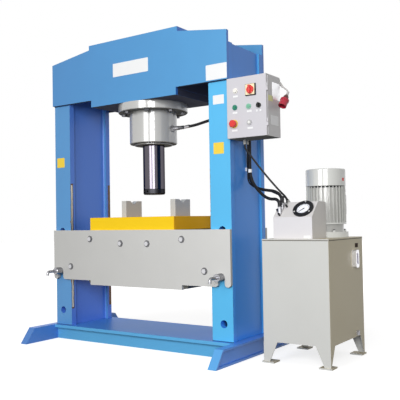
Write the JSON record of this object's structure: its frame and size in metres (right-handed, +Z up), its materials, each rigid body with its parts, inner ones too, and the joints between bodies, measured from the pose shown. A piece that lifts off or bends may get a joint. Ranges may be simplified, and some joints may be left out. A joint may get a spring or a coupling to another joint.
{
  "type": "hydraulic workshop press",
  "caption": "Column-type hydraulic press with a hanging cylinder, a bed on cross pins, a table plate with V-blocks, a control box and a separate motor-driven pump unit",
  "frame": {"origin": "on the floor, straight under the axis of the ram, halfway between the front and rear faces of the frame", "axes": "+X runs along the beam towards the pump unit, +Y runs from the front to the rear, +Z is up"},
  "size_m": [2.037, 0.926, 1.93],
  "materials": {
    "frame_blue": "satin",
    "bed_grey": "satin",
    "table_yellow": "satin",
    "cylinder_grey": "satin",
    "box_grey": "satin",
    "pump_grey": "satin",
    "rod_chrome": "polished",
    "bright_steel": "brushed",
    "dark_steel": "machined",
    "cast_iron": "rough",
    "black_rubber": "matt",
    "black_plastic": "matt",
    "white_plastic": "matt",
    "pale_lead": "matt",
    "red_plastic": "gloss",
    "green_plastic": "gloss",
    "light_green_plastic": "gloss",
    "lamp_plastic": "gloss",
    "clear_glass": "clear"
  },
  "bodies": {
    "press": {"column_left": "frame_blue", "column_right": "frame_blue", "beam_front_plate": "frame_blue", "beam_rear_plate": "frame_blue", "beam_base_plate": "frame_blue", "beam_top_plate": "frame_blue", "beam_ribs": "frame_blue", "base_plate": "frame_blue", "base_bars": "frame_blue", "foot_left": "frame_blue", "foot_right": "frame_blue", "cylinder_barrel": "cylinder_grey", "gland_ring": "cylinder_grey", "flange_bolts": "bright_steel", "port_fittings": "bright_steel", "control_box": "box_grey", "cable_glands": "black_plastic", "mains_plug": "red_plastic", "mains_lead": "pale_lead", "tank_shell": "pump_grey", "tank_lid": "pump_grey", "motor_housing": "pump_grey", "motor_cowl": "pump_grey", "bellhousing": "cast_iron", "gear_pump": "cast_iron", "suction_pipe": "bright_steel", "console_hood": "pump_grey", "valve_manifold": "bright_steel", "gauge_case": "black_plastic", "gauge_glass": "clear_glass", "sight_gauge": "black_plastic", "drain_plug": "bright_steel", "hose_lower_port": "black_rubber", "hose_upper_port": "black_rubber", "motor_conduit": "black_rubber", "valve_cable": "black_rubber"},
    "ram": {"piston": "dark_steel", "ram_rod": "rod_chrome", "ram_nose": "dark_steel"},
    "bed": {"bed_front_plate": "bed_grey", "bed_rear_plate": "bed_grey", "bed_spacers": "bed_grey", "bed_bolts": "bright_steel", "table_plate": "table_yellow", "v_block_left": "bed_grey", "v_block_right": "bed_grey"},
    "pin_l": {"pin_left": "bright_steel"},
    "pin_r": {"pin_right": "bright_steel"},
    "door": {"box_door": "box_grey", "button_bezels": "bright_steel", "pilot_lamp": "lamp_plastic", "main_switch_plate": "black_plastic"},
    "main_switch": {"main_switch_handle": "red_plastic"},
    "start_cap": {"start_button": "green_plastic"},
    "down_cap": {"down_button": "light_green_plastic"},
    "up_cap": {"up_button": "white_plastic"},
    "selector": {"selector_knob": "black_plastic"},
    "stop_cap": {"estop_button": "red_plastic"},
    "rotor": {"motor_rotor": "dark_steel"},
    "needle": {"gauge_needle": "black_plastic"}
  },
  "joints": [
    {"name": "ram_slide", "type": "slide", "parent": "press", "child": "ram", "axis": [0, 0, 1], "range_m": [-0.035, 0.265]},
    {"name": "bed_lift", "type": "slide", "parent": "press", "child": "bed", "axis": [0, 0, 1], "range_m": [0, 0.1]},
    {"name": "pin_left_pull", "type": "slide", "parent": "press", "child": "pin_l", "axis": [0, -1, 0], "range_m": [0, 0.4]},
    {"name": "pin_right_pull", "type": "slide", "parent": "press", "child": "pin_r", "axis": [0, -1, 0], "range_m": [0, 0.4]},
    {"name": "door_hinge", "type": "hinge", "parent": "press", "child": "door", "pos_m": [0.96, -0.231, 1.395], "axis": [0, 0, 1], "range_deg": [0, 110]},
    {"name": "main_switch_turn", "type": "hinge", "parent": "door", "child": "main_switch", "pos_m": [0.86188, -0.245, 1.484], "axis": [0, 1, 0], "range_deg": [0, 90]},
    {"name": "start_push", "type": "slide", "parent": "door", "child": "start_cap", "axis": [0, 1, 0], "range_m": [0, 0.004], "stiffness_N_per_m": 800},
    {"name": "down_push", "type": "slide", "parent": "door", "child": "down_cap", "axis": [0, 1, 0], "range_m": [0, 0.004], "stiffness_N_per_m": 800},
    {"name": "up_push", "type": "slide", "parent": "door", "child": "up_cap", "axis": [0, 1, 0], "range_m": [0, 0.004], "stiffness_N_per_m": 800},
    {"name": "selector_turn", "type": "hinge", "parent": "door", "child": "selector", "pos_m": [0.91103, -0.245, 1.394], "axis": [0, 1, 0], "range_deg": [-45, 45]},
    {"name": "stop_push", "type": "slide", "parent": "door", "child": "stop_cap", "axis": [0, 1, 0], "range_m": [0, 0.005]},
    {"name": "rotor_spin", "type": "hinge", "parent": "press", "child": "rotor", "pos_m": [1.096, 0.199, 0.8], "axis": [0, 0, 1], "continuous": true},
    {"name": "needle_turn", "type": "hinge", "parent": "press", "child": "needle", "pos_m": [1.08, -0.0685, 0.8305], "axis": [0, 0.7071, -0.7071], "range_deg": [0, 270]}
  ]
}
